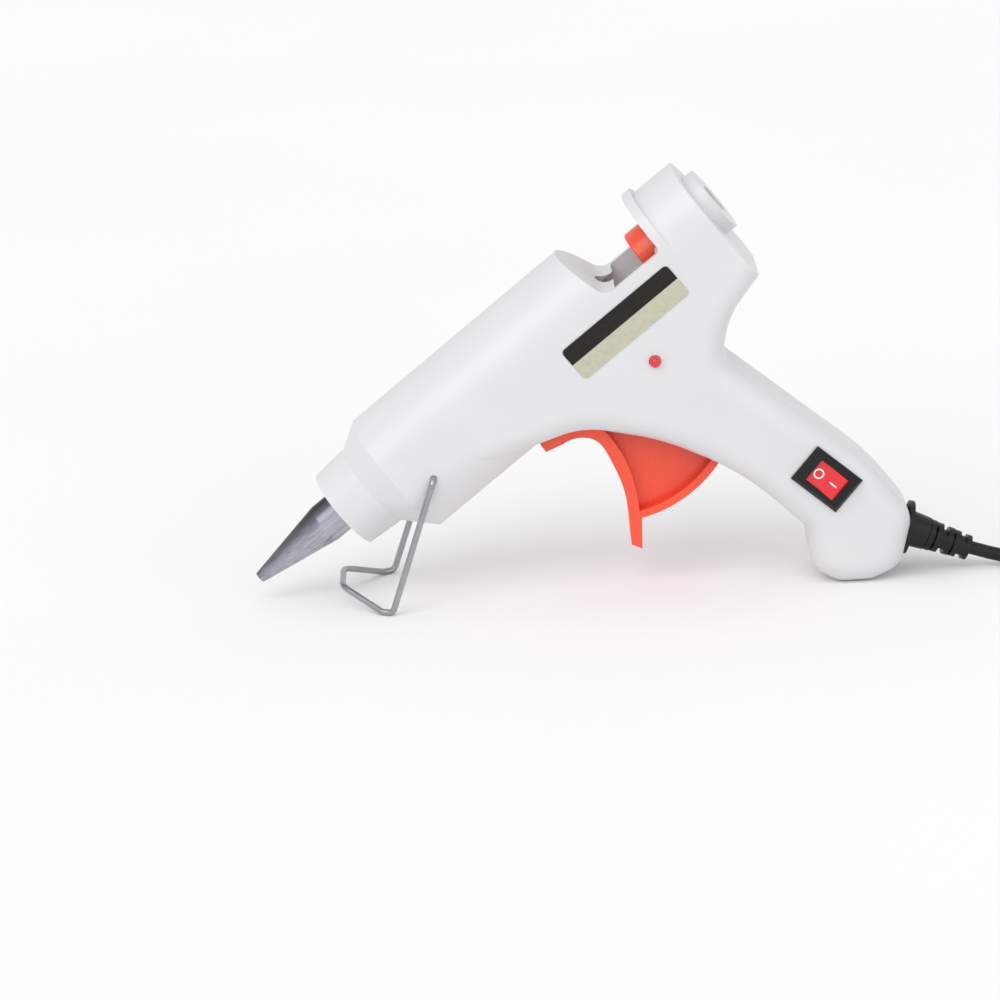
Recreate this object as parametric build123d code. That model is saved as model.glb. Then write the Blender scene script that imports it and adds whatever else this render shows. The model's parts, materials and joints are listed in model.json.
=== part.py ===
"""Mini hot-melt glue gun for 7 mm glue sticks, as an assembly of separate pieces.

Two frames are used. The gun frame has X rearwards along the barrel from the nozzle's tip, Y to the
far side and Z square to the barrel. The standing frame has Z up and the gun resting on its wire
stand and the foot of its handle, with the origin under the middle of the gun. Millimetres.
"""

from build123d import *
import math
import os

# ------------------------------------------------------------------ driving dimensions
TILT = 38.0  # the barrel's slope when the gun rests on its stand, in degrees
TIP_HEIGHT = 6.3  # nozzle tip above the ground
WALL = 2.0  # housing wall
SEAM = 0.05  # half the hairline gap between the two housing halves
HALF_WIDTH = 15.5  # barrel half width
BARREL_TOP, BARREL_BOTTOM = 15.7, -19.2
TOP_CORNER, BOTTOM_CORNER = 15.0, 14.0  # corner radii of the barrel's section
COLLAR_FRONT, COLLAR_REAR, BARREL_FRONT = 29.0, 39.0, 46.0
RIM_REAR, REAR_FACE = 139.3, 151.3
REAR_TOP = 14.1
HANDLE_EDGE = 6.0  # edge radius of the handle
TAPER_FROM, TAPER = -24.0, 0.045  # the sides close in below this height, by this slope
BOSS_RADIUS, BOSS_REAR, INLET_RADIUS = 9.1, 154.4, 4.0

# Foot and end of the handle in the standing frame, as distance behind the nozzle tip and height.
POMMEL_FRONT, FOOT_FRONT, FOOT_REAR = (143.6, 4.0), (150.2, 0.0), (159.0, 0.0)
END_LOW, END_HIGH = (166.6, 3.5), (170.0, 17.3)

WINDOW_FRONT, WINDOW_REAR, WINDOW_FLOOR = 114.5, 136.7, 1.5
SHELF_TOP, SHELF_END = -5.5, 129.8

PIVOT = (101.0, -20.0)  # trigger pivot
PIN_HEIGHT = -9.5  # cross pin that the trigger drives
PIN_RADIUS = 1.5
SPRING_POST = (121.0, -12.7)
ARC_RADIUS = 34.7  # trigger's lower edge, round the pivot
FINGER_HALF = 5.5
SLOT_HALF = 6.3
RUNNING = 0.05  # radial clearance of a pin that turns

CHAMBER_RADIUS, STICK_BORE = 7.5, 3.9
SLEEVE_RADIUS, SPIGOT_RADIUS = 6.2, 5.2
NOZZLE_RADIUS, NOZZLE_TIP, NOZZLE_SHOULDER, NOZZLE_REAR = 5.4, 1.5, 22.5, 31.0

STAND_PIVOT = (54.6, -6.1)
WIRE = 0.82  # stand wire radius
# Housing screws: place, and half width of the housing there.
SCREW_PLACES = [
    (57.0, 10.8, 11.6),
    (84.5, -13.0, 15.4),
    (106.0, 10.6, 11.7),
    (144.5, -14.6, 15.4),
    (124.5, -58.5, 13.9),
    (121.0, -92.0, 12.4),
]
SCREW_BOSS, SCREW_CORE, SCREW_HEAD = 2.8, 1.1, 2.3

SWITCH_PLACE, SWITCH_TURN = (130.4, -72.6), -79.0
BEZEL_LONG, BEZEL_SHORT, BEZEL_HEIGHT = 15.0, 10.9, 1.5
SWITCH_LONG, SWITCH_SHORT, SWITCH_DEPTH = 13.0, 8.6, 11.0
ROCKER_RADIUS, ROCKER_HALF, ROCKER_AXIS, ROCKER_TILT = 5.75, 3.3, -2.2, 8.0
LED_PLACE, LED_RADIUS = (117.35, -19.5), 1.5
LABEL_LOW, LABEL_HIGH = (100.8, -11.6), (135.6, -2.0)

CORD_RADIUS, LEAD_RADIUS = 1.75, 0.7
CORD_START = 12.0  # the cord's sheath ends this far inside the handle's end face
RELIEF_SLOPE = -60.0  # the cord's way out of the handle, against the barrel axis
RELIEF_LENGTH = 17.7
RELIEF_SHARE = 0.59  # its place up the handle's end face
COIL_OUTER = 22.75  # centre line of the outer turns: three turns side by side, three high
COIL_TALL, COIL_LIFT = 10.7, 0.5
PLUG_LONG, PLUG_WIDE, PLUG_THICK = 32.0, 27.0, 13.7
PIN_LONG, PIN_SPACING = 19.0, 18.6


# ------------------------------------------------------------------ frames and simple shapes
def turned(x, z, angle):
    """A point of a side view turned about the origin."""
    c, s = math.cos(math.radians(angle)), math.sin(math.radians(angle))
    return x * c - z * s, x * s + z * c


def on_ground(x, height):
    """Gun-frame point of a place given behind the nozzle tip and above the ground."""
    return turned(x, height - TIP_HEIGHT, -TILT)


def standing(x, z):
    """Standing-frame place of a gun-frame point, before the origin is moved under the gun."""
    px, pz = turned(x, z, TILT)
    return px, pz + TIP_HEIGHT


def stand_frame():
    """The gun frame as it stands on the ground."""
    return Pos(0, 0, TIP_HEIGHT) * Rot(0, -TILT, 0)


def gun_frame():
    """The way back from the standing frame to the gun frame."""
    return Rot(0, TILT, 0) * Pos(0, 0, -TIP_HEIGHT)


def half_width(z):
    """Half width of the housing at a height of the gun frame."""
    return HALF_WIDTH - TAPER * max(0.0, TAPER_FROM - z)


def outline(points, grow=0.0):
    """A flat side view from (x, z, corner radius) points, grown or shrunk all round."""
    line = FilletPolyline(*[(x, z) for x, z, _ in points], radius=[r for _, _, r in points], close=True)
    face = make_face(line)
    return offset(face, grow) if grow else face


def prism(face, low, high):
    """A side view given its width in Y."""
    return Pos(0, high, 0) * extrude(Plane.XZ * face, high - low)


def block(x, y, z):
    """A box from its low and high sides."""
    size = [high - low for low, high in (x, y, z)]
    return Pos(*[(low + high) / 2 for low, high in (x, y, z)]) * Box(*size)


def rod(x, z, radius, low, high):
    """A round bar across the gun."""
    return Pos(x, (low + high) / 2, z) * Rot(90, 0, 0) * Cylinder(radius, high - low)


def bar(low, high, radius, z=0.0):
    """A round bar along the barrel."""
    return Pos((low + high) / 2, 0, z) * Rot(0, 90, 0) * Cylinder(radius, high - low)


def cone(low, high, low_radius, high_radius):
    """A cone along the barrel."""
    return Pos((low + high) / 2, 0, 0) * Rot(0, 90, 0) * Cone(low_radius, high_radius, high - low)


def both_sides(shape):
    """A shape and its mirror image across the middle plane."""
    return shape + mirror(shape, Plane.XZ)


def wire_along(points, radii, thickness):
    """A round wire along straight runs joined by arcs."""
    path = FilletPolyline(*points, radius=radii)
    return sweep(Plane(origin=path @ 0, z_dir=path % 0) * Circle(thickness), path=path)


# ------------------------------------------------------------------ housing
def section(x, half, top, bottom, top_corner, bottom_corner):
    """A round-cornered section square to the barrel."""
    corners = [(x, half, bottom), (x, half, top), (x, -half, top), (x, -half, bottom)]
    radii = [bottom_corner, top_corner, top_corner, bottom_corner]
    return make_face(FilletPolyline(*corners, radius=radii, close=True))


def barrel_section(x, inset, top=BARREL_TOP):
    return section(
        x, HALF_WIDTH - inset, top - inset, BARREL_BOTTOM + inset, TOP_CORNER - inset, BOTTOM_CORNER - inset
    )


def handle_outline():
    """Side view of the body behind the barrel and of the handle."""
    def ground(place, radius):
        return (*on_ground(*place), radius)

    return [
        (66.0, -1.0, 0),
        (66.0, -13.0, 0),
        (91.5, -21.8, 22),
        (104.5, -37.5, 60),
        (114.5, -58.0, 70),
        (117.7, -80.6, 5),
        ground(POMMEL_FRONT, 7.2),
        ground(FOOT_FRONT, 7.2),
        ground(FOOT_REAR, 7.2),
        ground(END_LOW, 7.2),
        ground(END_HIGH, 8),
        (141.0, -79.0, 60),
        (129.9, -31.6, 6),
        (138.5, -24.0, 22),
        (REAR_FACE, -20.6, 0),
        (REAR_FACE, -1.0, 0),
    ]


def taper(inset):
    """The space between the two sides of the housing."""
    half, low = HALF_WIDTH - inset, -130.0
    foot = half - TAPER * (TAPER_FROM - low)
    points = [(half, 30.0), (half, TAPER_FROM), (foot, low), (-foot, low), (-half, TAPER_FROM), (-half, 30.0)]
    line = FilletPolyline(*points, radius=[0, 440, 0, 0, 440, 0], close=True)
    return extrude(Plane.YZ * make_face(line), 200)


def handle_form(inset):
    plate = prism(outline(handle_outline(), -inset), -HALF_WIDTH, HALF_WIDTH) & taper(inset)
    rim = [
        edge
        for edge in plate.edges()
        if abs(edge.center().Y) > 5
        and edge.center().Z < -6
        and 67 + inset < edge.center().X < REAR_FACE - inset - 0.1
        and abs((edge % 0.5).X) < 0.9999
    ]
    return fillet(rim, HANDLE_EDGE - inset)


def housing_form(inset):
    """The housing's outer form or, with an inset, the hollow inside its walls."""
    front = section(
        COLLAR_FRONT + 1.25 * inset, 11.0 - inset, 10.9 - inset, -11.3 + inset, 10.4 - inset, 10.4 - inset
    )
    waist = section(
        COLLAR_REAR + 0.6 * inset, 11.7 - inset, 11.7 - inset, -12.0 + inset, 11.1 - inset, 11.1 - inset
    )
    shoulder = barrel_section(BARREL_FRONT + 0.7 * inset, inset)
    form = loft([front, waist], ruled=True) + loft([waist, shoulder], ruled=True)
    form += extrude(shoulder, RIM_REAR - BARREL_FRONT - 1.7 * inset, dir=(1, 0, 0))
    rear = section(RIM_REAR - 4, HALF_WIDTH - inset, REAR_TOP - inset, -8.0, TOP_CORNER - inset, 0)
    form += extrude(rear, REAR_FACE - RIM_REAR + 4 - inset, dir=(1, 0, 0))
    return form + handle_form(inset)


def window_outline(grow=0.0):
    """Side view of the opening in the top of the barrel."""
    points = [
        (WINDOW_FRONT - 1.5, 20.0, 0),
        (118.9, WINDOW_FLOOR, 4.0),
        (WINDOW_REAR, WINDOW_FLOOR, 1.5),
        (WINDOW_REAR, 20.0, 0),
    ]
    return outline(points, grow)


def make_housing():
    outer = housing_form(0.0)
    outer = outer + bar(REAR_FACE - 1, BOSS_REAR, BOSS_RADIUS)
    shell = outer - housing_form(WALL)

    # Walls inside: bulkheads either side of the window, the shelf under it, ribs and bosses.
    lining = prism(window_outline(2.0), -30, 30) - prism(window_outline(), -31, 31)
    lining = lining & block((90, WINDOW_REAR + 2), (-30, 30), (WINDOW_FLOOR, 19))
    inner = lining + block((113, 115), (-14, 14), (-7, WINDOW_FLOOR + 4))
    inner += block((WINDOW_REAR, WINDOW_REAR + 1.8), (-14, 14), (-3, WINDOW_FLOOR + 1))
    inner += block((113, SHELF_END), (-14, 14), (SHELF_TOP - 1.5, SHELF_TOP))
    for x in (36.0, 60.0):
        inner += block((x, x + 1.8), (-14, 14), (-4.0, 15))
    inner += block((88, 89.8), (-14, 14), (-4.5, 15))
    inner += block((REAR_FACE - 4.5, REAR_FACE - 1), (-9, 9), (-9, 9))
    for x, z, _ in SCREW_PLACES:
        inner += rod(x, z, SCREW_BOSS, -HALF_WIDTH, HALF_WIDTH)
    inner += rod(*STAND_PIVOT, 2.6, -HALF_WIDTH, -11.6) + rod(*STAND_PIVOT, 2.6, 11.6, HALF_WIDTH)
    inner += both_sides(rod(*PIVOT, 3.6, 10.8, HALF_WIDTH))
    inner += rod(*SPRING_POST, PIN_RADIUS, -HALF_WIDTH, HALF_WIDTH)
    shell += inner & outer

    return shell - housing_cuts()


def housing_cuts():
    """Everything taken out of the housing's walls, ribs and bosses."""
    slot = [(79.3, -15.5, 0), (79.3, -30, 0), (104, -58, 0), (118.2, -54.5, 0), (112.0, -40.0, 8), (96, -15.5, 0)]
    cuts = [
        prism(window_outline(), -30, 30),
        bar(20, COLLAR_FRONT + 4, 7.0),
        bar(34, 66, CHAMBER_RADIUS + 0.1),
        bar(66, 111, SLEEVE_RADIUS + 0.1),
        bar(111, WINDOW_REAR - 1, STICK_BORE + 0.3),
        bar(WINDOW_REAR - 6, REAR_FACE - 4.5, CHAMBER_RADIUS + 0.6),
        bar(REAR_FACE - 6, BOSS_REAR + 1, INLET_RADIUS),
        prism(outline(slot), -SLOT_HALF, SLOT_HALF),
        rod(*STAND_PIVOT, WIRE + RUNNING, -20, 20),
        rod(*PIVOT, PIN_RADIUS, -12.8, 12.8),
        rod(*LED_PLACE, LED_RADIUS + 0.1, -20, -10),
        switch_cutout(),
        relief_hole(),
    ]
    for x, z, side in SCREW_PLACES:
        cuts.append(rod(x, z, SCREW_CORE + RUNNING, 3.0 - side, side))
        cuts.append(rod(x, z, SCREW_HEAD + 0.2, side - 5.5, side + 3))
    return cuts


def make_housing_halves():
    housing = make_housing()
    near = housing & block((0, 170), (-30, -SEAM), (-120, 30))
    far = housing & block((0, 170), (SEAM, 30), (-120, 30))
    return near, far


# ------------------------------------------------------------------ switch and lamp
def switch_frame():
    """Place of the switch: X along its long side, Z out of the handle's near side."""
    x, z = SWITCH_PLACE
    tilt = math.degrees(math.atan(TAPER))
    return Pos(x, -half_width(z), z) * Rot(tilt, 0, 0) * Plane.XZ.location * Rot(0, 0, SWITCH_TURN)


def local_box(x, y, z):
    return switch_frame() * block(x, y, z)


def switch_cutout():
    half_long, half_short = SWITCH_LONG / 2 + 0.1, SWITCH_SHORT / 2 + 0.1
    return local_box((-half_long, half_long), (-half_short, half_short), (-9, 3))


def drum(radius, half):
    """A round bar about the rocker's axis, in the switch's own frame."""
    return Pos(0, 0, ROCKER_AXIS) * Rot(90, 0, 0) * Cylinder(radius, 2 * half)


def make_switch_body():
    bezel = Pos(0, 0, BEZEL_HEIGHT / 2) * Box(BEZEL_LONG, BEZEL_SHORT, BEZEL_HEIGHT)
    bezel = chamfer(bezel.faces().sort_by(Axis.Z)[-1].edges(), 0.9)
    body = bezel + Pos(0, 0, -SWITCH_DEPTH / 2) * Box(SWITCH_LONG, SWITCH_SHORT, SWITCH_DEPTH)
    body -= drum(ROCKER_RADIUS + 0.15, ROCKER_HALF + 0.15)
    body -= drum(0.95, ROCKER_HALF + 0.6)
    return switch_frame() * body


def make_rocker():
    """The rocker at rest in its off position, the upper half pressed in."""
    rise = math.tan(math.radians(ROCKER_TILT)) * 8
    crown = 0.95
    roof = Polyline((-8, -5.2), (8, -5.2), (8, crown + rise), (0, crown), (-8, crown + rise), close=True)
    form = drum(ROCKER_RADIUS, ROCKER_HALF) & prism(make_face(roof), -9, 9)
    form += drum(0.9, ROCKER_HALF + 0.5)
    marks = rocker_marks(crown)
    rest = Pos(0, 0, ROCKER_AXIS) * Rot(0, -ROCKER_TILT, 0) * Pos(0, 0, -ROCKER_AXIS)
    return switch_frame() * rest * form, switch_frame() * rest * marks


def rocker_marks(crown):
    """A ring for off and a bar for on, standing 0.12 mm proud of the rocker's two faces."""
    ring = Cylinder(1.4, 0.12) - Cylinder(1.0, 0.12)
    line = Box(2.1, 0.42, 0.12)
    drop = 0.06

    def on_face(shape, x, slope):
        place = Pos(x, 0, crown + abs(x) * math.tan(math.radians(ROCKER_TILT)))
        return place * Rot(0, slope, 0) * Pos(0, 0, drop) * shape

    return on_face(ring, -2.3, ROCKER_TILT) + on_face(line, 2.4, -ROCKER_TILT)


def make_switch_terminals():
    blades = [block((x - 0.4, x + 0.4), (-2.4, 2.4), (-SWITCH_DEPTH - 6.5, -SWITCH_DEPTH)) for x in (-3.6, 3.6)]
    return switch_frame() * Compound(children=blades)


def make_lamp():
    x, z = LED_PLACE
    front = -half_width(z) - 0.5
    lens = rod(x, z, LED_RADIUS, front, -10.6)
    lens += Pos(x, front, z) * Sphere(LED_RADIUS)
    return lens + rod(x, z, 1.9, -HALF_WIDTH + WALL + 0.1, -HALF_WIDTH + WALL + 1.0)


def make_lamp_resistor():
    x, z = LED_PLACE
    legs = rod(x - 0.8, z, 0.25, -10.6, -8.0) + rod(x + 0.8, z, 0.25, -10.6, -8.0)
    return legs + block((x - 2.4, x + 2.4), (-8.0, -6.2), (z - 0.9, z + 0.9))


def make_label():
    (x0, z0), (x1, z1) = LABEL_LOW, LABEL_HIGH
    points = [(x0, z0, 1.2), (x1, z0, 1.2), (x1, z1, 1.2), (x0, z1, 1.2)]
    return prism(outline(points), -HALF_WIDTH - 0.22, -HALF_WIDTH)


# ------------------------------------------------------------------ nozzle, heater and stick path
def make_nozzle():
    form = cone(0, NOZZLE_SHOULDER, NOZZLE_TIP, NOZZLE_RADIUS) + bar(NOZZLE_SHOULDER, NOZZLE_REAR, NOZZLE_RADIUS)
    return form - bar(24, NOZZLE_REAR, 3.0) - bar(2.0, 24, 1.2) - bar(-1, 2.0, 0.75)


def make_nozzle_bush():
    return bar(COLLAR_FRONT + 0.4, NOZZLE_REAR, 7.0) - bar(20, 40, NOZZLE_RADIUS)


def make_melt_chamber():
    form = bar(NOZZLE_REAR + 0.6, 76, CHAMBER_RADIUS) + bar(24.2, NOZZLE_REAR + 1, 2.95)
    form += bar(NOZZLE_REAR, NOZZLE_REAR + 1, 6.8)
    form += bar(76, 82, SPIGOT_RADIUS) + block((47, 75), (-6, 6), (-13.2, 0))
    form -= bar(58, 83, STICK_BORE)
    form -= cone(34, 58, 1.4, STICK_BORE)
    form -= bar(20, 34, 1.2)
    return form - block((49, 76), (-4.6, 4.6), (-12.1, -9.1))


def make_heater():
    return block((49.5, 73.5), (-4.4, 4.4), (-11.5, -9.7))


def make_heater_plates():
    low = block((49.5, 74), (-4.2, 4.2), (-12.0, -11.5)) + block((74, 80), (-3.4, -0.8), (-12.0, -11.5))
    high = block((49.5, 74), (-4.2, 4.2), (-9.7, -9.2)) + block((74, 80), (0.8, 3.4), (-9.7, -9.2))
    return Compound(children=[low, high])


def make_inlet_sleeve():
    return bar(76, 112.8, SLEEVE_RADIUS) - bar(76, 82, SPIGOT_RADIUS) - bar(82, 113, STICK_BORE)


def make_sleeve_clamp():
    band = bar(78, 80, SLEEVE_RADIUS + 0.5) - bar(77, 81, SLEEVE_RADIUS)
    ears = block((78, 80), (-1.3, -0.7), (SLEEVE_RADIUS + 0.2, SLEEVE_RADIUS + 2.6))
    return band + both_sides(ears) - block((77, 81), (-0.7, 0.7), (SLEEVE_RADIUS - 1, 12))


# ------------------------------------------------------------------ feed mechanism
def make_stick_carrier():
    form = bar(130.5, 144.5, CHAMBER_RADIUS)
    form = fillet(form.edges().filter_by(GeomType.CIRCLE).sort_by(Axis.X)[0], 0.5)
    form -= block((130, 134.5), (-9, 9), (-9, SHELF_TOP + 0.3))
    form += block((134.5, 144.5), (-7.4, 7.4), (-11, -3))
    form += both_sides(block((98.4, 144.5), (5.2, 7.4), (-11, -8)))
    form += both_sides(rod(PIVOT[0], PIN_HEIGHT, 2.4, 5.2, 7.4))
    form -= bar(120, 150, STICK_BORE + 0.2)
    return form - rod(PIVOT[0], PIN_HEIGHT, PIN_RADIUS, -9, 9)


def make_carrier_pin():
    return rod(PIVOT[0], PIN_HEIGHT, PIN_RADIUS, -10.2, 10.2)


def trigger_outline():
    """Side view of the trigger's rim, from its lip round the finger to the arc's rear end."""
    px, pz = PIVOT
    lip = [(79.6, -18.5), (79.3, -21.8), (84.0, -23.1)]
    finger = [(88.6, -24.8), (90.8, -27.4), (90.6, -34.3), (88.2, -42.3), (84.1, -49.4)]
    tip = [(80.0, -55.3), (81.4, -58.0)]

    def on_arc(angle):
        return (px + ARC_RADIUS * math.sin(math.radians(angle)), pz - ARC_RADIUS * math.cos(math.radians(angle)))

    front = Spline(lip[2], *finger, tip[0])
    arc = ThreePointArc(on_arc(-24.5), on_arc(0), on_arc(29))
    lines = Polyline(tip[0], tip[1], on_arc(-24.5))
    hub = [(px + 8, pz + 1), (px + 3.2, pz + 4.4), (px - 3.2, pz + 4.4)]
    back = Polyline(on_arc(29), *hub, (93, -18.2), *lip)
    return make_face(front + lines + arc + back)


def recess_outline():
    """The thin web between the finger, the lower rim and the pivot."""
    px, pz = PIVOT
    disc = Pos(px, pz) * Circle(ARC_RADIUS - 2.0)
    line = Spline((93.5, -21.5), (94.4, -30.0), (92.8, -39.0), (90.2, -45.0), (85.8, -52.0))
    close = Polyline((85.8, -52.0), (130, -60), (130, -21.5), (93.5, -21.5))
    hub = Pos(px, pz) * Circle(5.2)
    return make_face(line + close) & disc - hub


def make_trigger():
    px, pz = PIVOT
    form = prism(trigger_outline(), -FINGER_HALF, FINGER_HALF)
    hollow = prism(recess_outline(), 2.0, FINGER_HALF + 1)
    form -= both_sides(hollow)
    form += rod(px, pz, 4.4, -10.3, 10.3)
    arm = [(px - 3.6, pz, 0), (px + 3.6, pz, 0), (px + 3.4, -6.0, 1.5), (px - 3.4, -6.0, 1.5)]
    form += both_sides(prism(outline(arm), 7.8, 10.3))
    slot = [(px - 1.85, PIN_HEIGHT - 2.3, 1.8), (px + 1.85, PIN_HEIGHT - 2.3, 1.8)]
    slot += [(px + 1.85, PIN_HEIGHT + 2.4, 1.8), (px - 1.85, PIN_HEIGHT + 2.4, 1.8)]
    form -= prism(outline(slot), -12, 12)
    form -= block((px - 6, px + 6), (-7.8, 7.8), (-15.4, 0))
    return form - rod(px, pz, PIN_RADIUS + RUNNING, -12, 12)


def make_trigger_pin():
    return rod(*PIVOT, PIN_RADIUS, -12.7, 12.7)


def make_return_spring():
    """Close-wound extension spring from the cross pin to the post behind it."""
    wire, mean = 0.3, 1.9
    rise, run = SPRING_POST[1] - PIN_HEIGHT, SPRING_POST[0] - PIVOT[0]
    span = math.hypot(run, rise)
    low, high = 4.2, span - 4.2
    helix = Helix((high - low) / 12, high - low, mean)
    coil = sweep(Plane(origin=helix @ 0, z_dir=helix % 0) * Circle(wire), path=helix, is_frenet=True)
    spring = Pos(low, 0, 0) * Rot(0, 90, 0) * coil
    for hook, end in ((0.0, low), (span, high)):
        spring += Pos(hook, 0, 0) * Rot(90, 0, 0) * Torus(mean, wire)
        spring += bar(min(mean, end), max(mean, end), wire) if hook == 0 else bar(end, span - mean, wire)
        spring += Pos(end, 0, -mean / 2) * Cylinder(wire + 0.05, mean + 0.5)
    slope = math.degrees(math.atan2(-rise, run))
    return Pos(PIVOT[0], 0, PIN_HEIGHT) * Rot(0, slope, 0) * spring


# ------------------------------------------------------------------ stand, screws and wiring
def make_stand():
    """Wire stand in the standing frame: two legs from the housing's sides to a loop in front."""
    hinge_x, hinge_z = standing(*STAND_PIVOT)
    foot_x, toe_x, toe_z = 34.6, 21.6, 5.3
    half = [
        (hinge_x, 12.3, hinge_z),
        (hinge_x, 16.8, hinge_z),
        (foot_x, 19.0, WIRE),
        (foot_x - 2.8, 17.6, WIRE),
        (toe_x, 8.0, toe_z),
    ]
    other = [(x, -y, z) for x, y, z in reversed(half)]
    radii = [1.7, 1.6, 3.0, 6.5]
    return wire_along(half + other, radii + radii[::-1], WIRE)


def make_housing_screws():
    screws = []
    for x, z, side in SCREW_PLACES:
        head = rod(x, z, SCREW_HEAD, side - 5.5, side - 3.6)
        head -= block((x - 1.7, x + 1.7), (side - 4.4, side), (z - 0.3, z + 0.3))
        head -= block((x - 0.3, x + 0.3), (side - 4.4, side), (z - 1.7, z + 1.7))
        screws.append(head + rod(x, z, SCREW_CORE, 3.8 - side, side - 5.5))
    return Compound(children=screws)


def relief_place():
    """Where the cord leaves the handle's end face, and the face's slope."""
    (x0, z0), (x1, z1) = on_ground(*END_LOW), on_ground(*END_HIGH)
    return x0 + RELIEF_SHARE * (x1 - x0), z0 + RELIEF_SHARE * (z1 - z0), math.degrees(math.atan2(z1 - z0, x1 - x0))


def relief_frame():
    """Frame on the end face with Z along the cord's way out."""
    x, z, _ = relief_place()
    return Pos(x, 0, z) * Rot(0, 90 - RELIEF_SLOPE, 0)


def relief_point(distance):
    """Standing-frame place on the strain relief's axis."""
    x, z, _ = relief_place()
    dx, dz = turned(distance, 0, RELIEF_SLOPE)
    return standing(x + dx, z + dz)


def relief_hole():
    return relief_frame() * Cylinder(3.6, 16)


def make_strain_relief():
    """Ribbed boot moulded on the cord, with a flange outside the handle and a lock inside."""
    x, z, face = relief_place()
    flange = Pos(x, 0, z) * Rot(0, 180 - face, 0) * Pos(0, 0, 0.6) * Cylinder(7.0, 1.2)
    boot = Pos(0, 0, 3.4) * Cone(4.7, 4.3, 5.2)
    boot += Pos(0, 0, 9.0) * Cylinder(2.6, 2 * (RELIEF_LENGTH - 9.0))
    for low, radius in ((6.2, 4.1), (8.2, 3.9), (11.2, 3.7), (13.2, 3.5), (16.3, 3.3)):
        boot += Pos(0, 0, low + 0.7) * Cylinder(radius, 1.4)
    boot += Pos(0, 0, -2.4) * Cylinder(3.5, 8.0)
    boot += Pos(0, 0, -6.3) * Cylinder(4.6, 1.6)
    return flange + relief_frame() * boot - gun_frame() * make_cord()


def make_cord_clamp():
    """Saddle that holds the cord inside the handle."""
    return relief_frame() * block((-4.5, 4.5), (CORD_RADIUS, CORD_RADIUS + 2.2), (-CORD_START + 0.5, -CORD_START + 4.0))


def make_leads():
    """Three insulated leads: cord to switch, switch to heater and cord to heater."""
    x, z, _ = relief_place()
    dx, dz = turned(-CORD_START - LEAD_RADIUS - 0.1, 0, RELIEF_SLOPE)
    x, z = x + dx, z + dz
    live = [(x, -0.9, z), (x, 1.0, z + 4.0), (131.5, 4.5, -82.0), (131.5, 4.5, -79.0)]
    switched = [(129.2, 5.0, -66.0), (130.4, 3.5, -60.0), (130.4, -7.5, -56.0), (127.3, -8.7, -42.0)]
    switched += [(124.5, -10.0, -29.0), (121.0, -11.4, -16.3)]
    switched += [(110.0, -11.6, -14.0), (94.0, -11.6, -10.0), (85.0, -8.0, -8.2), (80.8, -2.1, -10.8)]
    neutral = [(x - 1.5, 0.9, z), (126.5, 9.0, -84.0), (120.5, 9.6, -66.0), (118.0, 11.0, -40.0)]
    neutral += [(112.0, 11.6, -14.0), (94.0, 11.6, -10.0), (85.0, 8.0, -8.2), (80.8, 2.1, -8.6)]
    return [wire_along(points, [2.0] * (len(points) - 2), LEAD_RADIUS) for points in (live, switched, neutral)]


# ------------------------------------------------------------------ mains cord and plug, standing frame
def ground_point(start, distance, heading):
    """A point of the cord lying on the ground, further along a compass heading."""
    dx, dy = turned(distance, 0, heading)
    return start[0] + dx, start[1] + dy, CORD_RADIUS


def cord_route():
    """From inside the handle through the strain relief, down to the ground and along it to the coil."""
    (x0, z0), (x1, z1) = relief_point(-CORD_START), relief_point(0)
    reach = (z1 - CORD_RADIUS) / math.sin(math.radians(-TILT - RELIEF_SLOPE))
    down = (relief_point(reach)[0], 0.0, CORD_RADIUS)
    aside = ground_point(down, 16.0, -14.0)
    last = ground_point(aside, 10.0, -32.0)
    return [(x0, 0.0, z0), down, aside, (last[0], last[1], last[2] + 0.2)]


def coil_middle():
    """Centre of the coil, whose outer turn the cord runs on to."""
    start = cord_route()[2]
    x, y, _ = ground_point(start, 14.0, -32.0)
    dx, dy = turned(0, COIL_OUTER, -32.0)
    return x + dx, y + dy


def tube_radii(points):
    """Each bend as large as its two runs allow."""
    radii = []
    for a, b, c in zip(points, points[1:], points[2:]):
        before, after = Vector(b) - Vector(a), Vector(c) - Vector(b)
        turn = math.radians(before.get_angle(after))
        radii.append(0.45 * min(before.length, after.length) / math.tan(turn / 2))
    return radii


def make_tube(points):
    radii = tube_radii(points)
    path = FilletPolyline(*points, radius=radii)
    tube = sweep(Plane(origin=path @ 0, z_dir=path % 0) * Circle(CORD_RADIUS), path=path)
    section_by_length = math.pi * CORD_RADIUS**2 * path.length
    print("bend radii", [round(r) for r in radii], "volume", round(tube.volume), round(section_by_length))
    return tube


def make_cord():
    return make_tube(cord_route())


def make_coil():
    ring = Cylinder(COIL_OUTER + 1.9, COIL_TALL) - Cylinder(COIL_OUTER - 9.0, COIL_TALL)
    ring = fillet(ring.edges().filter_by(GeomType.CIRCLE), 1.8)
    return Pos(*coil_middle(), COIL_TALL / 2 + COIL_LIFT) * ring


def make_cord_tie():
    """Flat tie round the turns on the coil's rear side."""
    thick = COIL_LIFT
    low, high = COIL_OUTER - 9.0, COIL_OUTER + 1.9
    band = block((low - thick, high + thick), (-2.5, 2.5), (0, COIL_TALL + 2 * thick))
    band -= block((low, high), (-3, 3), (thick, COIL_TALL + thick))
    return Pos(*coil_middle(), 0) * Rot(0, 0, 35) * band


def plug_frame():
    """Frame at the middle of the plug's cord end, with X towards the pins."""
    x, y = coil_middle()
    return Pos(x + 33.5, y - 12.5, PLUG_THICK / 2)


def plug_route():
    """From the coil's top outer turn to the plug."""
    x, y = coil_middle()
    leave = (x + 11.4, y - 19.7, COIL_TALL - 1.5)
    end = plug_frame() * Pos(-4.0, 0, 0)
    return [leave, (x + 21.0, y - 13.4, COIL_TALL - 2.6), tuple(end.position)]


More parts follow.
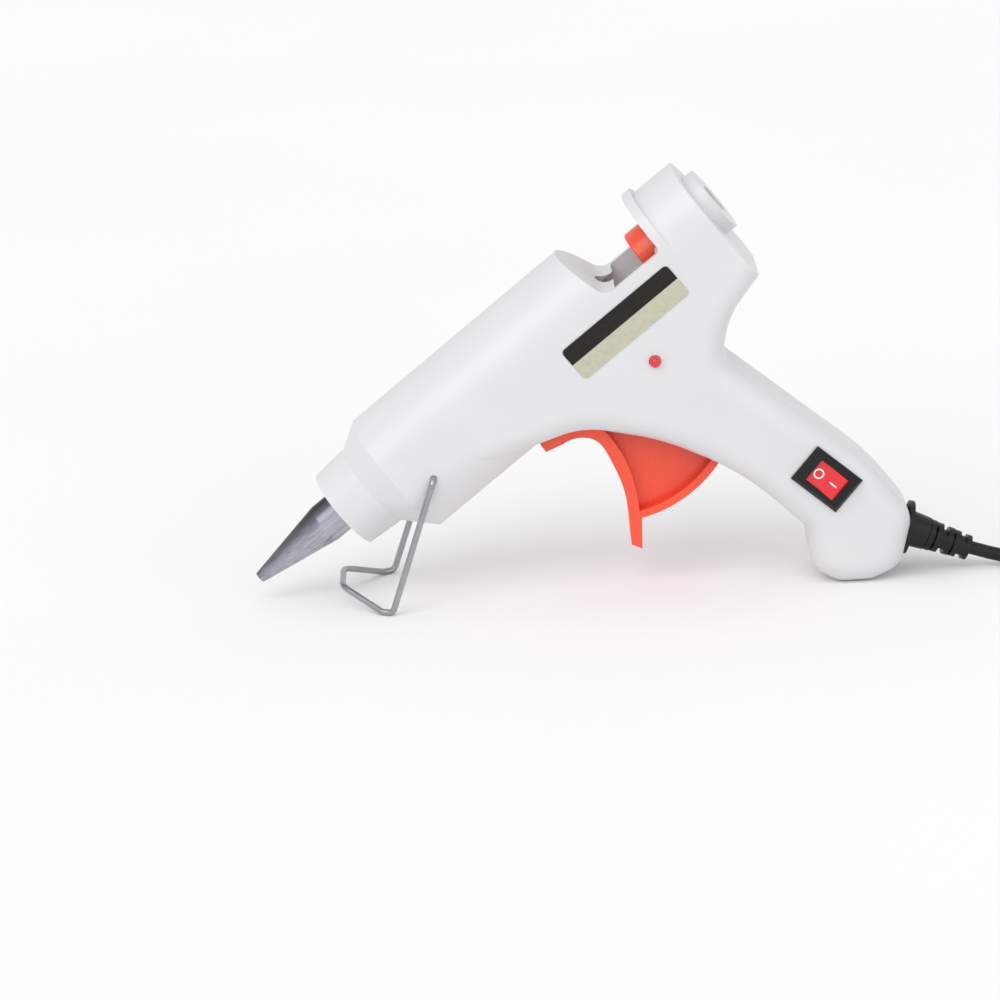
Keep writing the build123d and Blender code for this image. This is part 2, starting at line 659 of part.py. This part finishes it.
def make_plug_body():
    """Flat two-pin plug with a tapered grip and a moulded cord boot."""
    half, face = PLUG_THICK / 2, PLUG_WIDE / 2
    points = [(0, -4.5, 2), (8, -8.5, 8), (19, -10.5, 12), (PLUG_LONG, -face, 2)]
    points += [(x, -y, r) for x, y, r in reversed(points)]
    body = extrude(outline(points), half, both=True)
    body = fillet(body.edges().filter_by(Plane.XY), 2.0)
    boot = Pos(-3.0, 0, 0) * Rot(0, 90, 0) * Cone(2.7, 3.9, 8.0)
    bore = Pos(-6.0, 0, 0) * Rot(0, 90, 0) * Cylinder(CORD_RADIUS, 6.0)
    return plug_frame() * (body + boot - bore)


def make_plug_pins():
    pins = []
    for y in (-PIN_SPACING / 2, PIN_SPACING / 2):
        pin = Rot(0, 90, 0) * Cylinder(2.0, PIN_LONG)
        pin = fillet(pin.edges().sort_by(Axis.X)[-1], 1.2)
        pins.append(Pos(PLUG_LONG + PIN_LONG / 2, y, 0) * pin)
    return plug_frame() * Compound(children=pins)


# ------------------------------------------------------------------ assembly
def build():
    near, far = make_housing_halves()
    rocker, marks = make_rocker()
    live, switched, neutral = make_leads()
    gun = {
        "left_housing": near,
        "right_housing": far,
        "label": make_label(),
        "nozzle": make_nozzle(),
        "nozzle_bush": make_nozzle_bush(),
        "melt_chamber": make_melt_chamber(),
        "heater_element": make_heater(),
        "heater_plates": make_heater_plates(),
        "inlet_sleeve": make_inlet_sleeve(),
        "sleeve_clamp": make_sleeve_clamp(),
        "stick_carrier": make_stick_carrier(),
        "carrier_pin": make_carrier_pin(),
        "trigger": make_trigger(),
        "trigger_pin": make_trigger_pin(),
        "return_spring": make_return_spring(),
        "switch_body": make_switch_body(),
        "switch_rocker": rocker,
        "rocker_marks": marks,
        "switch_terminals": make_switch_terminals(),
        "indicator_lamp": make_lamp(),
        "lamp_resistor": make_lamp_resistor(),
        "housing_screws": make_housing_screws(),
        "strain_relief": make_strain_relief(),
        "cord_clamp": make_cord_clamp(),
        "live_lead": live,
        "switched_lead": switched,
        "neutral_lead": neutral,
    }
    placed = {name: stand_frame() * shape for name, shape in gun.items()}
    placed["stand_wire"] = make_stand()
    boxes = [shape.bounding_box() for shape in placed.values()]
    middle = (min(box.min.X for box in boxes) + max(box.max.X for box in boxes)) / 2
    placed["power_cord"] = make_cord()
    placed["cord_coil"] = make_coil()
    placed["cord_tie"] = make_cord_tie()
    placed["plug_lead"] = make_tube(plug_route())
    placed["plug_body"] = make_plug_body()
    placed["plug_pins"] = make_plug_pins()
    print("middle of the gun behind the nozzle tip", middle, "lowest", min(box.min.Z for box in boxes))
    return {name: Pos(-middle, 0, 0) * shape for name, shape in placed.items()}


def main():
    os.makedirs("parts", exist_ok=True)
    for name, shape in build().items():
        export_step(shape, f"parts/{name}.step")


main()
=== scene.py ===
"""Hot-melt glue gun on its wire stand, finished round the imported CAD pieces."""

import json
import math

import bmesh
import bpy
from mathutils import Matrix, Vector


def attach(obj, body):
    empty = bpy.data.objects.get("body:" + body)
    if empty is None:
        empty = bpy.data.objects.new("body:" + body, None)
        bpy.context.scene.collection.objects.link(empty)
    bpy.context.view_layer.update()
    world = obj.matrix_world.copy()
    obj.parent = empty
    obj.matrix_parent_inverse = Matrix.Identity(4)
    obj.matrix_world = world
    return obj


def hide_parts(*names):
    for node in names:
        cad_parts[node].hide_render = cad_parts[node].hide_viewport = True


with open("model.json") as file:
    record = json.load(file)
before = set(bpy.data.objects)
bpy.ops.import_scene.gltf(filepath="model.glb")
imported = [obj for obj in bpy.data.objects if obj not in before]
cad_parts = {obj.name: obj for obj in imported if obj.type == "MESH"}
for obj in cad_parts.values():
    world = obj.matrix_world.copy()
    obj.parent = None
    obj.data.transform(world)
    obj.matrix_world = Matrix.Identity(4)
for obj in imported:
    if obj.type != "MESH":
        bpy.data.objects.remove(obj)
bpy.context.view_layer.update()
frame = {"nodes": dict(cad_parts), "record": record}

MM = 0.001

# The gun stands with its barrel sloping down to the nozzle tip.
TILT = math.radians(38.0)
TIP = Vector((-92.665, 0.0, 6.3)) * MM
ABOVE = Vector((-math.sin(TILT), 0, math.cos(TILT)))


# ------------------------------------------------------------------ camera
def aim_camera():
    turn, drop, roll = math.radians(-0.125), math.radians(16.125), math.radians(2.755)
    right = Vector((math.cos(turn), math.sin(turn), 0))
    ahead = Vector((-math.sin(turn) * math.cos(drop), math.cos(turn) * math.cos(drop), -math.sin(drop)))
    up = right.cross(ahead)
    picture_right = right * math.cos(roll) - up * math.sin(roll)
    picture_up = right * math.sin(roll) + up * math.cos(roll)
    middle = TIP + picture_right * 0.0626 + picture_up * 0.0202
    eye = middle - ahead * 1.1
    data = bpy.data.cameras.new("camera")
    data.lens, data.sensor_width = 151.7, 36.0
    data.clip_start, data.clip_end = 0.01, 20
    camera = bpy.data.objects.new("camera", data)
    turned = Matrix((picture_right, picture_up, -ahead)).transposed().to_4x4()
    camera.matrix_world = Matrix.Translation(eye) @ turned
    bpy.context.collection.objects.link(camera)
    bpy.context.scene.camera = camera


aim_camera()


# ------------------------------------------------------------------ material making
def new_finish(name, colour, roughness, metallic=0.0):
    finish = bpy.data.materials.new(name)
    finish.use_nodes = True
    shader = finish.node_tree.nodes["Principled BSDF"]
    shader.inputs["Base Color"].default_value = (*colour, 1)
    shader.inputs["Roughness"].default_value = roughness
    shader.inputs["Metallic"].default_value = metallic
    return finish, finish.node_tree, shader


def place_of(tree, scale=(1, 1, 1), turn=(0, 0, 0)):
    """Object coordinates, turned and stretched for a pattern."""
    coordinates = tree.nodes.new("ShaderNodeTexCoord")
    mapping = tree.nodes.new("ShaderNodeMapping")
    mapping.vector_type = "TEXTURE"
    mapping.inputs["Rotation"].default_value = turn
    mapping.inputs["Scale"].default_value = scale
    tree.links.new(coordinates.outputs["Object"], mapping.inputs["Vector"])
    return mapping.outputs["Vector"]


def grain(tree, place, scale, detail=3.0, rough=0.55):
    noise = tree.nodes.new("ShaderNodeTexNoise")
    noise.inputs["Scale"].default_value = scale
    noise.inputs["Detail"].default_value = detail
    noise.inputs["Roughness"].default_value = rough
    tree.links.new(place, noise.inputs["Vector"])
    return noise.outputs["Fac"]


def ramp(tree, fac, stops):
    node = tree.nodes.new("ShaderNodeValToRGB")
    elements = node.color_ramp.elements
    while len(elements) < len(stops):
        elements.new(0.5)
    for element, (at, colour) in zip(elements, stops):
        element.position = at
        element.color = (*colour, 1)
    tree.links.new(fac, node.inputs["Fac"])
    return node.outputs["Color"]


def span(tree, fac, low, high):
    node = tree.nodes.new("ShaderNodeMapRange")
    node.inputs["To Min"].default_value = low
    node.inputs["To Max"].default_value = high
    tree.links.new(fac, node.inputs["Value"])
    return node.outputs["Result"]


def relief(tree, shader, height, strength, distance, under=None):
    bump = tree.nodes.new("ShaderNodeBump")
    bump.inputs["Strength"].default_value = strength
    bump.inputs["Distance"].default_value = distance
    tree.links.new(height, bump.inputs["Height"])
    if under:
        tree.links.new(under, bump.inputs["Normal"])
    tree.links.new(bump.outputs["Normal"], shader.inputs["Normal"])
    return bump.outputs["Normal"]


def moulded_plastic(name, pale, deep, roughness, pits=0.1, shine=0.5):
    """Injection-moulded plastic: slight mottling, a fine spark texture and faint flow marks."""
    finish, tree, shader = new_finish(name, pale, roughness)
    place = place_of(tree)
    mottle = grain(tree, place, 55, 4)
    tree.links.new(ramp(tree, mottle, [(0.3, deep), (0.7, pale)]), shader.inputs["Base Color"])
    smear = grain(tree, place, 220, 3)
    tree.links.new(span(tree, smear, roughness - 0.07, roughness + 0.09), shader.inputs["Roughness"])
    waves = relief(tree, shader, grain(tree, place, 38, 2), 0.06, 0.0006)
    relief(tree, shader, grain(tree, place, 2600, 2), pits, 0.00004, waves)
    shader.inputs["Specular IOR Level"].default_value = shine
    return finish


def housing_white():
    finish = moulded_plastic("ivory_white_plastic", (0.69, 0.692, 0.705), (0.665, 0.668, 0.682), 0.34, 0.16)
    shader = finish.node_tree.nodes["Principled BSDF"]
    shader.inputs["Subsurface Weight"].default_value = 0.06
    shader.inputs["Subsurface Radius"].default_value = (0.0012, 0.001, 0.0009)
    shader.inputs["Subsurface Scale"].default_value = 1.0
    shader.inputs["Coat Weight"].default_value = 0.12
    shader.inputs["Coat Roughness"].default_value = 0.22
    return finish


def trigger_orange():
    finish = moulded_plastic("orange_red_plastic", (0.91, 0.085, 0.035), (0.84, 0.07, 0.028), 0.27, 0.12)
    finish.node_tree.nodes["Principled BSDF"].inputs["Coat Weight"].default_value = 0.15
    return finish


def cast_aluminium():
    """Cast aluminium with lengthwise polishing scratches, and a painted dark reflection darkening its upper
    side.
    """
    finish, tree, shader = new_finish("cast_aluminium", (0.5, 0.5, 0.53), 0.3, 1.0)
    along = place_of(tree, (0.03, 0.0006, 0.0006), (0, -TILT, 0))
    scratches = grain(tree, along, 1.0, 5, 0.65)
    across = tree.nodes.new("ShaderNodeVectorMath")
    across.operation = "DOT_PRODUCT"
    across.inputs[1].default_value = (ABOVE + Vector((0, 0.5, 0))).normalized()
    tree.links.new(place_of(tree), across.inputs[0])
    height = tree.nodes.new("ShaderNodeMapRange")
    middle = TIP.dot(Vector(across.inputs[1].default_value))
    height.inputs["From Min"].default_value = middle - 0.0048
    height.inputs["From Max"].default_value = middle + 0.0046
    tree.links.new(across.outputs["Value"], height.inputs["Value"])
    tone = tree.nodes.new("ShaderNodeMix")
    tone.data_type = "RGBA"
    tone.blend_type = "MULTIPLY"
    tone.inputs["Factor"].default_value = 1.0
    tree.links.new(
        ramp(tree, scratches, [(0.3, (0.55, 0.55, 0.58)), (0.5, (0.8, 0.8, 0.83)), (0.7, (1.0, 1.0, 1.0))]),
        tone.inputs["A"],
    )
    # Painted reflection: the colour darkens towards the upper side, standing in for dark surroundings
    # reflected in the metal.
    painted_reflection_stops = [(0.0, (0.62, 0.62, 0.66)), (0.35, (0.52, 0.52, 0.58))]
    painted_reflection_stops += [(0.6, (0.26, 0.26, 0.3)), (0.95, (0.03, 0.03, 0.035))]
    tree.links.new(ramp(tree, height.outputs["Result"], painted_reflection_stops), tone.inputs["B"])
    tree.links.new(tone.outputs["Result"], shader.inputs["Base Color"])
    tree.links.new(span(tree, scratches, 0.2, 0.42), shader.inputs["Roughness"])
    relief(tree, shader, scratches, 0.35, 0.00012)
    return finish


def drawn_steel(name="drawn_steel_wire", tone=(0.40, 0.41, 0.43)):
    finish, tree, shader = new_finish(name, tone, 0.27, 1.0)
    marks = grain(tree, place_of(tree), 400, 3, 0.5)
    dark = tuple(0.88 * c for c in tone)
    tree.links.new(ramp(tree, marks, [(0.3, dark), (0.7, tone)]), shader.inputs["Base Color"])
    tree.links.new(span(tree, marks, 0.2, 0.3), shader.inputs["Roughness"])
    return finish


def lamp_glass():
    finish, tree, shader = new_finish("red_lamp_lens", (0.9, 0.03, 0.02), 0.16)
    glow = grain(tree, place_of(tree), 500, 2)
    stops = [(0.3, (0.62, 0.008, 0.015)), (0.7, (0.78, 0.018, 0.03))]
    tree.links.new(ramp(tree, glow, stops), shader.inputs["Base Color"])
    shader.inputs["Coat Weight"].default_value = 0.6
    shader.inputs["Coat Roughness"].default_value = 0.06
    return finish


def label_print():
    """Black band over a beige-grey field, both plain, on satin foil."""
    finish, tree, shader = new_finish("label_print", (0.55, 0.53, 0.41), 0.3)
    coordinates = tree.nodes.new("ShaderNodeTexCoord")
    height = tree.nodes.new("ShaderNodeVectorMath")
    height.operation = "DOT_PRODUCT"
    height.inputs[1].default_value = ABOVE
    tree.links.new(coordinates.outputs["Object"], height.inputs[0])
    band = tree.nodes.new("ShaderNodeMapRange")
    split = (TIP + ABOVE * -6.6 * MM).dot(ABOVE)
    band.inputs["From Min"].default_value = split - 0.00004
    band.inputs["From Max"].default_value = split + 0.00004
    tree.links.new(height.outputs["Value"], band.inputs["Value"])
    fibre = grain(tree, place_of(tree), 700, 4)
    field = ramp(tree, fibre, [(0.3, (0.47, 0.455, 0.35)), (0.7, (0.53, 0.51, 0.40))])
    ink = ramp(tree, fibre, [(0.3, (0.006, 0.005, 0.004)), (0.7, (0.014, 0.012, 0.008))])
    mix = tree.nodes.new("ShaderNodeMix")
    mix.data_type = "RGBA"
    tree.links.new(band.outputs["Result"], mix.inputs["Factor"])
    tree.links.new(field, mix.inputs["A"])
    tree.links.new(ink, mix.inputs["B"])
    tree.links.new(mix.outputs["Result"], shader.inputs["Base Color"])
    tree.links.new(span(tree, fibre, 0.22, 0.36), shader.inputs["Roughness"])
    relief(tree, shader, fibre, 0.08, 0.00003)
    shader.inputs["Specular IOR Level"].default_value = 0.3
    return finish


def black_rubber(name, tone=0.005, roughness=0.34):
    finish, tree, shader = new_finish(name, (tone, tone, tone), roughness)
    place = place_of(tree)
    dust = grain(tree, place, 160, 5)
    stops = [(0.3, (0.6 * tone,) * 3), (0.7, (1.5 * tone,) * 3)]
    tree.links.new(ramp(tree, dust, stops), shader.inputs["Base Color"])
    tree.links.new(span(tree, dust, roughness - 0.08, roughness + 0.12), shader.inputs["Roughness"])
    relief(tree, shader, grain(tree, place, 1900, 2), 0.2, 0.00005)
    shader.inputs["Specular IOR Level"].default_value = 0.35
    return finish


def mark_white():
    return moulded_plastic("printed_white", (0.86, 0.84, 0.82), (0.78, 0.76, 0.74), 0.4, 0.05)


def rocker_red():
    finish = moulded_plastic("red_rocker_plastic", (0.80, 0.018, 0.028), (0.70, 0.012, 0.02), 0.24, 0.05)
    shader = finish.node_tree.nodes["Principled BSDF"]
    shader.inputs["Coat Weight"].default_value = 0.4
    shader.inputs["Coat Roughness"].default_value = 0.1
    return finish


FINISHES = {
    "housing": housing_white(),
    "trigger_orange": trigger_orange(),
    "nozzle": cast_aluminium(),
    "chamber": drawn_steel("die_cast_alloy", (0.45, 0.45, 0.46)),
    "insulator": moulded_plastic("insulating_bush", (0.055, 0.05, 0.045), (0.035, 0.032, 0.03), 0.6, 0.3),
    "silicone": moulded_plastic("silicone_rubber", (0.62, 0.16, 0.09), (0.55, 0.12, 0.07), 0.55, 0.2),
    "ceramic": moulded_plastic("ceramic_white", (0.75, 0.73, 0.68), (0.66, 0.64, 0.6), 0.5, 0.2),
    "terminal": drawn_steel("brass_terminal", (0.72, 0.53, 0.28)),
    "steel": drawn_steel(),
    "switch_black": moulded_plastic(
        "black_switch_plastic", (0.006, 0.006, 0.007), (0.004, 0.004, 0.005), 0.24, 0.15, 0.35
    ),
    "rocker_red": rocker_red(),
    "mark_white": mark_white(),
    "lamp_red": lamp_glass(),
    "label": label_print(),
    "cord_black": black_rubber("black_cord_sheath"),
    "lead": moulded_plastic("lead_sheath", (0.45, 0.06, 0.05), (0.38, 0.05, 0.04), 0.4, 0.1),
}


def dress_cad_nodes():
    slots = {row["node"]: row["material_slot"] for row in frame["record"]["subparts"]}
    for name, node in frame["nodes"].items():
        finish = FINISHES[slots[name]]
        if not node.material_slots:
            node.data.materials.append(finish)
        for place in node.material_slots:
            place.material = finish


dress_cad_nodes()


# ------------------------------------------------------------------ mains cord
CORD_WIDE = 3.5
COIL_MIDDLE = Vector((139.88, 8.0))
COIL_START, COIL_TURNS, COIL_REST = -122.0, 8, 3
COIL_TURN_POINTS = 16
TURN_CELLS = [
    (22.75, 2.25), (19.25, 2.25), (15.75, 2.25), (15.75, 5.75), (15.75, 9.25),
    (19.25, 9.25), (19.25, 5.75), (22.75, 5.75), (22.75, 9.25),
]


def coil_points():
    """Eight turns in three layers, each easing into the next over its last quarter, and a short rest."""
    out = 1 / (0.5 + 0.5 * math.cos(math.pi / COIL_TURN_POINTS))
    points = []
    for count in range(COIL_TURNS * COIL_TURN_POINTS + COIL_REST):
        turn, step = divmod(count, COIL_TURN_POINTS)
        ease = max(0.0, 4 * step / COIL_TURN_POINTS - 3)
        radius, height = Vector(TURN_CELLS[turn]).lerp(TURN_CELLS[min(turn + 1, 8)], ease)
        angle = math.radians(COIL_START) + math.tau * step / COIL_TURN_POINTS
        x, y = COIL_MIDDLE + Vector((math.cos(angle), math.sin(angle))) * radius * out
        points.append((x, y, height))
    return points


def cord_curve():
    points = [(82.0, 0, 9.2), (100.42, 0, 1.75), (115.95, -3.87, 1.75), (123.5, -8.6, 1.95)]
    points += coil_points()
    points += [(153.5, -10.5, 9.1), (160.9, -5.4, 8.1), (169.4, -4.5, 6.85)]
    data = bpy.data.curves.new("mains_cord", "CURVE")
    data.dimensions = "3D"
    spline = data.splines.new("NURBS")
    spline.points.add(len(points) - 1)
    for point, place in zip(spline.points, points):
        point.co = (*(Vector(place) * MM), 1)
    spline.order_u = 3
    spline.use_endpoint_u = True
    spline.resolution_u = 6
    data.bevel_depth = CORD_WIDE / 2 * MM
    data.bevel_resolution = 5
    data.use_fill_caps = True
    data.materials.append(FINISHES["cord_black"])
    cord = bpy.data.objects.new("mains_cord", data)
    bpy.context.collection.objects.link(cord)
    return cord


cord = cord_curve()
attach(cord, "housing")
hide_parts("power_cord", "cord_coil", "plug_lead")


# ------------------------------------------------------------------ knuckles of the strain relief
RELIEF_PLACE, RELIEF_DROP = Vector((75.94, 0, 11.64)) * MM, math.radians(22)
# Start and end along the boot and outer radius, in mm, then the turn of the first of each pair of knuckles.
KNUCKLES = [(7.4, 8.4, 3.95, 0), (9.4, 11.4, 3.75, 90), (12.4, 13.4, 3.55, 0), (14.4, 16.5, 3.35, 90)]
KNUCKLE_ARC, BOOT_CORE = 64, 2.2


def relief_knuckles():
    """Bridges between the boot's ribs, on alternate sides so that it bends."""
    form = bmesh.new()
    for low, high, radius, first in KNUCKLES:
        for side in (first, first + 180):
            turn = Matrix.Rotation(math.radians(side - KNUCKLE_ARC / 2), 4, "X")
            corners = [(low, BOOT_CORE), (high, BOOT_CORE), (high, radius), (low, radius)]
            start = [form.verts.new(turn @ (Vector((x, 0, r)) * MM)) for x, r in corners]
            bmesh.ops.spin(
                form, geom=[form.faces.new(start)], cent=(0, 0, 0), axis=(1, 0, 0),
                angle=math.radians(KNUCKLE_ARC), steps=8,
            )
    bmesh.ops.recalc_face_normals(form, faces=form.faces)
    bmesh.ops.bevel(
        form, geom=[e for e in form.edges if e.calc_face_angle(0) > 0.8], offset=0.15 * MM, affect="EDGES",
        segments=2, profile=0.5, material=-1,
    )
    bmesh.ops.transform(
        form, verts=form.verts, matrix=Matrix.Translation(RELIEF_PLACE) @ Matrix.Rotation(RELIEF_DROP, 4, "Y")
    )
    mesh = bpy.data.meshes.new("relief_knuckles")
    form.to_mesh(mesh)
    form.free()
    mesh.materials.append(FINISHES["cord_black"])
    knuckles = bpy.data.objects.new("relief_knuckles", mesh)
    bpy.context.collection.objects.link(knuckles)
    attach(knuckles, "housing")


relief_knuckles()


# ------------------------------------------------------------------ floor and light
def pale_floor():
    mesh = bpy.data.meshes.new("floor")
    form = bmesh.new()
    bmesh.ops.create_grid(form, x_segments=1, y_segments=1, size=6)
    form.to_mesh(mesh)
    form.free()
    floor = bpy.data.objects.new("floor", mesh)
    bpy.context.collection.objects.link(floor)
    finish, tree, shader = new_finish("pale_floor", (0.93, 0.93, 0.93), 0.7)
    tone = grain(tree, place_of(tree), 3, 2)
    stops = [(0.3, (0.92, 0.92, 0.92)), (0.7, (0.94, 0.94, 0.94))]
    tree.links.new(ramp(tree, tone, stops), shader.inputs["Base Color"])
    shader.inputs["Specular IOR Level"].default_value = 0.15
    mesh.materials.append(finish)


def soft_sun(name, come_from, wide, power):
    data = bpy.data.lights.new(name, "SUN")
    data.angle, data.energy = math.radians(wide), power
    lamp = bpy.data.objects.new(name, data)
    lamp.matrix_world = (-Vector(come_from)).to_track_quat("-Z", "Y").to_matrix().to_4x4()
    bpy.context.collection.objects.link(lamp)


def soft_light():
    world = bpy.data.worlds.new("studio")
    world.use_nodes = True
    world.node_tree.nodes["Background"].inputs["Color"].default_value = (1, 1, 1, 1)
    world.node_tree.nodes["Background"].inputs["Strength"].default_value = 0.8
    bpy.context.scene.world = world
    bpy.context.scene.view_settings.view_transform = "Standard"
    soft_sun("key_light", (-0.55, -0.9, 1.0), 50, 1.05)
    soft_sun("fill_light", (0.7, -0.8, 0.35), 60, 0.35)


pale_floor()
soft_light()
